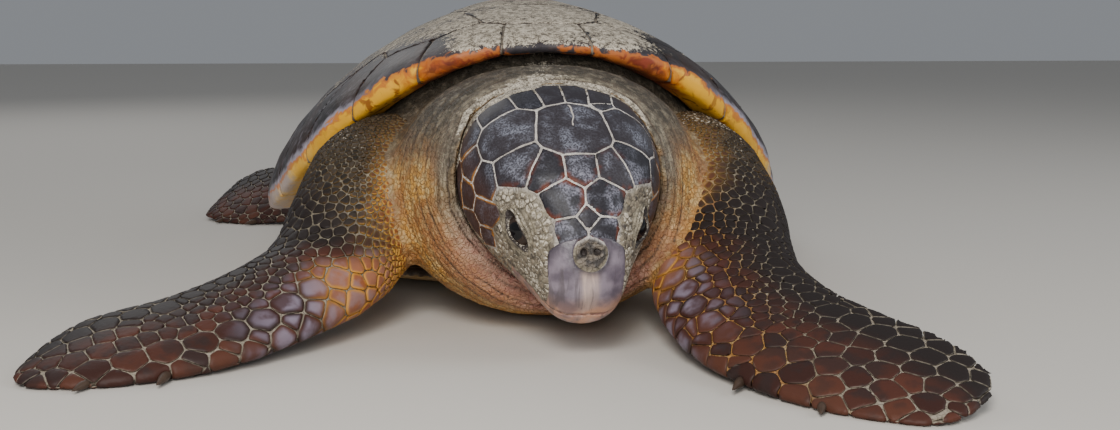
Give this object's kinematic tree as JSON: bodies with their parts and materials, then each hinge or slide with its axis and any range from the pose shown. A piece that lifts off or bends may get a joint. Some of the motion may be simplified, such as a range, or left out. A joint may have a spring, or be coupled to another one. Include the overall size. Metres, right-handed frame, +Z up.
{
  "type": "loggerhead turtle",
  "caption": "Life-size still model of an adult loggerhead sea turtle hauled out on land, head low, one front flipper reaching forward and the other swept out.",
  "frame": {"origin": "middle of the plastron's flat underside, on the floor", "axes": "+Z up; the turtle faces -Y, so +Y runs along the body to the tail; +X is the turtle's left side"},
  "size_m": [1.0088, 1.44, 0.36],
  "materials": {
    "shell_horn": "dark brown shell horn under a dusting of dry sand",
    "plastron_horn": "cream yellow shell horn",
    "skin": "scaly brown and ochre reptile skin",
    "horn": "pale worn beak and claw horn",
    "eye_wet": "wet near-black eye"
  },
  "bodies": {
    "root": {"carapace": "shell_horn", "plastron": "plastron_horn", "trunk": "skin", "neck": "skin", "head": "skin", "lower_jaw": "skin", "upper_beak": "horn", "eye_left": "eye_wet", "eye_right": "eye_wet", "upper_arm_left": "skin", "upper_arm_right": "skin", "front_flipper_left": "skin", "front_flipper_right": "skin", "rear_flipper_left": "skin", "rear_flipper_right": "skin", "tail": "skin", "front_flipper_left_claw_1": "horn", "front_flipper_left_claw_2": "horn", "front_flipper_right_claw_1": "horn", "front_flipper_right_claw_2": "horn", "rear_flipper_left_claw_1": "horn", "rear_flipper_left_claw_2": "horn", "rear_flipper_right_claw_1": "horn", "rear_flipper_right_claw_2": "horn"}
  },
  "joints": []
}
